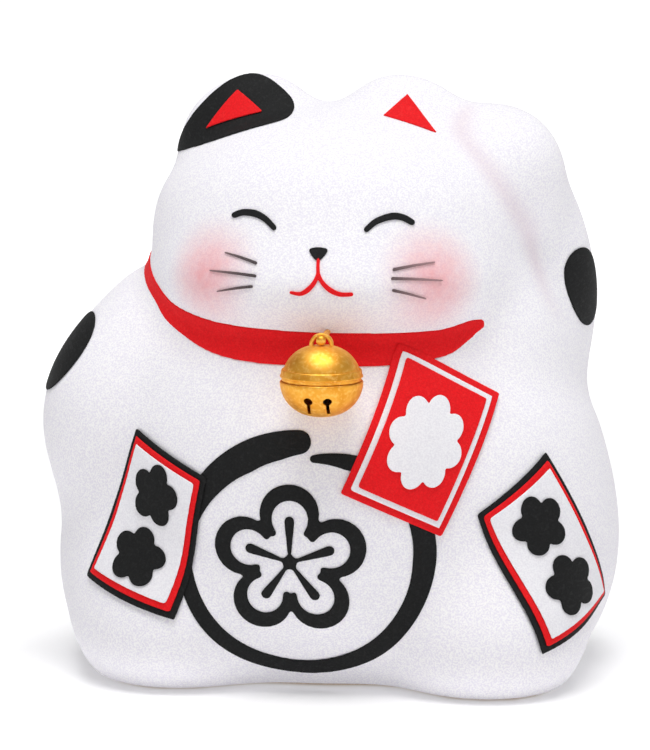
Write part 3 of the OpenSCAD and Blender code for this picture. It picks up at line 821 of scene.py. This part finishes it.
# %% [markdown]
# ## The bell
# A jingle bell is two cups of thin brass. The lower cup is a little wider, and a band that leans in grips
# the upper one above the seam. A cup is drawn as one closed section and spun about the upright axis. Two
# round holes with a slit running down from each are cut from the lower cup with a Boolean, which leaves a
# narrow tongue of brass between them. The loop is an arch of flat strap, and the head of its pin shows
# inside it.

# %% Spun brass
def middle_of(node):
    low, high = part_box(node)
    return (low + high) / 2


upper_low, upper_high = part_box("bell_upper_shell")
lower_low, lower_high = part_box("bell_lower_shell")
BELL_X, BELL_Y, _ = middle_of("bell_upper_shell")
BELL_Z = upper_low.z
BELL_TALL = upper_high.z - upper_low.z
UPPER_HALF = (upper_high.x - upper_low.x) / 2
LOWER_HALF = (lower_high.x - lower_low.x) / 2
BRASS_THICK = 0.5 * MM
FULL = 0.86            # under 1 makes a cup fuller than a plain ellipse
LIP_RISE = 0.01 * MM


def spun(section, steps=72):
    """A closed section (out from the axis, height) spun about the upright axis through the origin."""
    deselect_all()
    bpy.ops.mesh.primitive_circle_add(vertices=len(section), radius=1.0)
    piece = bpy.context.object
    for vertex, (out, height) in zip(piece.data.vertices, section):
        vertex.co = (out, 0, height)

    def spin():
        bpy.ops.mesh.spin(steps=steps, angle=2 * math.pi, center=(0, 0, 0), axis=(0, 0, 1))
        bpy.ops.mesh.select_all(action="SELECT")

    edit(piece, spin, lambda: merge_doubles(0.000001), point_outwards)
    return piece


def put(piece, place, facing_front=False):
    """Moves a spun piece to its place; facing front, its axis points to the viewer."""
    turn = Matrix.Rotation(math.pi / 2, 4, "X") if facing_front else Matrix.Identity(4)
    piece.data.transform(Matrix.Translation(place) @ turn)
    return piece


def cup(half_wide, sign, steps=28):
    """The section of one cup: outside from rim to pole, then inside back to the rim, with a rolled lip."""
    angles = np.linspace(0.03, math.pi / 2, steps)
    angles[-1] = math.pi / 2 - 1e-9      # just short of the pole, so that no cosine falls below nothing
    outside = [(half_wide * math.cos(a) ** FULL, sign * BELL_TALL * math.sin(a)) for a in angles]
    inner_wide, inner_tall = half_wide - BRASS_THICK, BELL_TALL - BRASS_THICK
    inside = [(inner_wide * math.cos(a) ** FULL, sign * inner_tall * math.sin(a)) for a in angles[::-1]]
    lip = [(half_wide - BRASS_THICK * share, sign * LIP_RISE) for share in (0.85, 0.2)]
    return outside + inside + lip


BELL_MIDDLE = Vector((BELL_X, BELL_Y, BELL_Z))
upper = put(spun(cup(UPPER_HALF, 1)), BELL_MIDDLE)
lower = put(spun(cup(LOWER_HALF, -1)), BELL_MIDDLE)
settle(upper, "bell_upper_brass", "bell", "bell_brass", GILT, "bell_upper_shell")

# %% Holes and slits in the lower cup
HOLE_OUT = 1.75 * MM
HOLE_RADIUS = 0.8 * MM
SLIT_WIDE = 0.6 * MM
SLIT_LONG = 3.4 * MM
CUT_TILT = math.radians(24)
tools = []
for x in (-HOLE_OUT, HOLE_OUT):
    deselect_all()
    bpy.ops.mesh.primitive_cylinder_add(vertices=40, radius=HOLE_RADIUS, depth=2 * LOWER_HALF,
                                        location=(x, -LOWER_HALF, 0), rotation=(math.pi / 2, 0, 0))
    tools.append(bpy.context.object)
    deselect_all()
    bpy.ops.mesh.primitive_cube_add(size=1, location=(x, -LOWER_HALF, -SLIT_LONG / 2),
                                    scale=(SLIT_WIDE, 2 * LOWER_HALF, SLIT_LONG))
    tools.append(bpy.context.object)
for tool in tools:
    pick(tool)
    bpy.ops.object.transform_apply(location=True, rotation=True, scale=True)
    tool.data.transform(Matrix.Translation(BELL_MIDDLE) @ Matrix.Rotation(CUT_TILT, 4, "X"))
    apply_modifier(lower, "BOOLEAN", operation="DIFFERENCE", object=tool, solver="EXACT")
    bpy.data.objects.remove(tool)
settle(lower, "bell_lower_brass", "bell", "bell_brass", GILT, "bell_lower_shell")

# %% Band
band_low, band_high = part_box("bell_band")
bottom, top = band_low.z - BELL_Z, band_high.z - BELL_Z
lean = UPPER_HALF - 0.25 * MM
wide = (band_high.x - band_low.x) / 2
EDGE = 0.12 * MM
band_section = [
    (UPPER_HALF - 0.1 * MM, bottom), (wide - EDGE, bottom), (wide, bottom + EDGE),
    (wide, bottom + 3 * EDGE), (wide - 1.2 * EDGE, bottom + 4.6 * EDGE),
    (UPPER_HALF + 0.06 * MM, top - 2 * EDGE), (UPPER_HALF, top - EDGE), (UPPER_HALF - EDGE, top),
    (lean, top),
]
settle(put(spun(band_section), BELL_MIDDLE), "bell_band_brass", "bell", "bell_brass", GILT, "bell_band")

# %% Loop and pin
def rounded_box(x0, x1, y0, y1, r, count=4):
    """A rectangle with rounded corners, as a closed section."""
    points = []
    corners = ((x1 - r, y1 - r, 0), (x0 + r, y1 - r, 90), (x0 + r, y0 + r, 180), (x1 - r, y0 + r, 270))
    for cx, cy, start in corners:
        for a in np.radians(np.linspace(start, start + 90, count)):
            points.append((cx + r * math.cos(a), cy + r * math.sin(a)))
    return points


loop_low, loop_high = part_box("bell_loop")
loop_radius = (loop_high.x - loop_low.x) / 2
strap_half = (loop_high.y - loop_low.y) / 2
STRAP_THICK = 0.7 * MM
STRAP_ROUND = 0.24 * MM
strap = rounded_box(loop_radius - STRAP_THICK, loop_radius, -strap_half, strap_half, STRAP_ROUND)
loop = put(spun(strap, 64), (BELL_X, BELL_Y, loop_high.z - loop_radius), True)
FOOT_SUNK = 0.34 * MM       # how far the feet of the loop go into the crown of the bell
foot_z = BELL_Z + BELL_TALL - FOOT_SUNK
edit(loop, lambda: bpy.ops.mesh.bisect(plane_co=(0, 0, foot_z), plane_no=(0, 0, 1), use_fill=True,
                                       clear_inner=True),
     lambda: bpy.ops.mesh.select_all(action="SELECT"), point_outwards)
settle(loop, "bell_loop_brass", "bell", "bell_brass", GILT, "bell_loop")

pin_low, pin_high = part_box("bell_pin")
head_radius = (pin_high.z - pin_low.z) / 2
HEAD_TALL = head_radius * 0.7
SHANK = 0.55 * MM
long = pin_high.y - pin_low.y
pin_section = [(0, 0), (SHANK, 0), (SHANK, long - HEAD_TALL), (head_radius, long - HEAD_TALL)]
pin_section += [(head_radius * math.cos(a), long - HEAD_TALL + HEAD_TALL * math.sin(a))
                for a in np.linspace(0.2, math.pi / 2, 8)]
pin = put(spun(pin_section, 48), (BELL_X, pin_high.y, (pin_low.z + pin_high.z) / 2), True)
settle(pin, "bell_pin_brass", "figure", "bell_brass", GILT, "bell_pin")

# %% [markdown]
# ## Floor, light and camera
# The floor is plain, pale and flat round the cat, and far off it curves up on all sides like a wide,
# shallow bowl. No camera round the cat gets behind it, and none sees a horizon. A large soft light stands
# above, and a weaker one fills from the front. The floor glows a little, as a sheet of frosted acrylic lit
# from below does, so that the contact shadow stays soft. Away from the cat it glows more, so the ground is
# white from every side without a light behind the cat that would wash out its back. The camera looks a
# little down and from the cat's left, with a long lens.

# %% Stage
FLOOR_DROP = 0.2 * MM
FLOOR_WIDE = 9.0
FLAT_REACH = 2.2
BOWL_CURVE = 0.25
RIM_HEIGHT = 1.0
GLOW_NEAR, GLOW_FAR = 0.2, 0.74
GLOW_START, GLOW_END = 0.12, 0.7

deselect_all()
bpy.ops.mesh.primitive_grid_add(x_subdivisions=80, y_subdivisions=80, size=FLOOR_WIDE)
floor = bpy.context.object
floor.name = "floor"
spread = points_of(floor)
beyond = np.clip(np.hypot(spread[:, 0], spread[:, 1]) - FLAT_REACH, 0, None)
spread[:, 2] = np.minimum(beyond**2 * BOWL_CURVE, RIM_HEIGHT) - FLOOR_DROP
move_points(floor, spread)
bpy.ops.object.shade_smooth()
pale = Finish("pale_floor", roughness=0.75)
speck = pale.noise(pale.place, 6.0, 5.0)
pale.set("Base Color", pale.mix(speck, (0.93, 0.93, 0.93, 1), (0.91, 0.91, 0.92, 1)))
reach_out = pale.node("ShaderNodeVectorMath", {"operation": "LENGTH"}, "Value", i0=pale.place)
glow = pale.between(reach_out, GLOW_START, GLOW_END, GLOW_NEAR, GLOW_FAR)
pale.set("Emission Color", pale.mix(glow, (0, 0, 0, 1), (1, 1, 1, 1)))
pale.set("Emission Strength", 1.0)
floor.data.materials.append(pale.material)
print("floor glows from", GLOW_NEAR, "near the cat to", GLOW_FAR)

# %% Lights and sky
def area_light(name, place, target, size, power):
    deselect_all()
    bpy.ops.object.light_add(type="AREA", location=place)
    light = bpy.context.object
    light.name = name
    light.data.shape = "DISK"
    light.data.size = size
    light.data.energy = power
    light.rotation_euler = (Vector(target) - Vector(place)).to_track_quat("-Z", "Y").to_euler()


MIDDLE = (0.0, 0.0, 0.055)
area_light("key_light", (0.03, -0.2, 1.3), MIDDLE, 0.9, 15.2)
area_light("front_light", (0.7, -1.0, 0.3), MIDDLE, 0.8, 0.6)
world = bpy.data.worlds.new("studio")
bpy.context.scene.world = world
world.use_nodes = True
world.node_tree.nodes["Background"].inputs["Color"].default_value = (1.0, 1.0, 1.0, 1)
world.node_tree.nodes["Background"].inputs["Strength"].default_value = 0.16
bpy.context.scene.view_settings.view_transform = "Standard"
print("two soft lights and a white sky")

# %% Camera
LOOK_AT = Vector((-1.5, 0.0, 54.6)) * MM
AZIMUTH, ELEVATION = math.radians(6.0), math.radians(8.5)
CAMERA_FAR = 0.9
SENSOR = 36.0
VIEW_TALL = 144.4 * MM
away = Vector((math.sin(AZIMUTH) * math.cos(ELEVATION), -math.cos(AZIMUTH) * math.cos(ELEVATION),
               math.sin(ELEVATION)))
deselect_all()
bpy.ops.object.camera_add(location=LOOK_AT + away * CAMERA_FAR)
camera = bpy.context.object
camera.rotation_euler = (-away).to_track_quat("-Z", "Y").to_euler()
camera.data.sensor_width = SENSOR
camera.data.lens = SENSOR * CAMERA_FAR / VIEW_TALL
bpy.context.scene.camera = camera
print("lens", round(camera.data.lens, 1), "mm")
